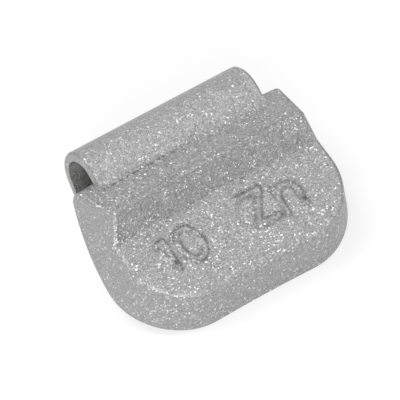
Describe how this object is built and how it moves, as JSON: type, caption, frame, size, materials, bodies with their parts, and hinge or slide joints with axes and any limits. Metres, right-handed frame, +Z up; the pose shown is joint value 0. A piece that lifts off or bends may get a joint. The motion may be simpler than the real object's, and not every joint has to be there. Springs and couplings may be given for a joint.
{
  "type": "wheel balance weight",
  "caption": "Clip-on wheel balance weight: a curved zinc body with a raised ridge and rounded lower corners, cast onto a spring-steel clip that hooks over a wheel's rim flange.",
  "frame": {"origin": "middle of the footprint, on the surface that the weight lies on", "axes": "+X along the rim, +Y from the body's lower edge towards the hook, +Z up from the surface that it lies on"},
  "size_m": [0.0244, 0.017, 0.0107],
  "materials": {
    "body_coat": "silver sparkle coat over die-cast zinc",
    "clip_coat": "silver sparkle coat over spring steel"
  },
  "bodies": {
    "root": {"weight_body": "body_coat", "spring_clip": "clip_coat"}
  },
  "joints": []
}
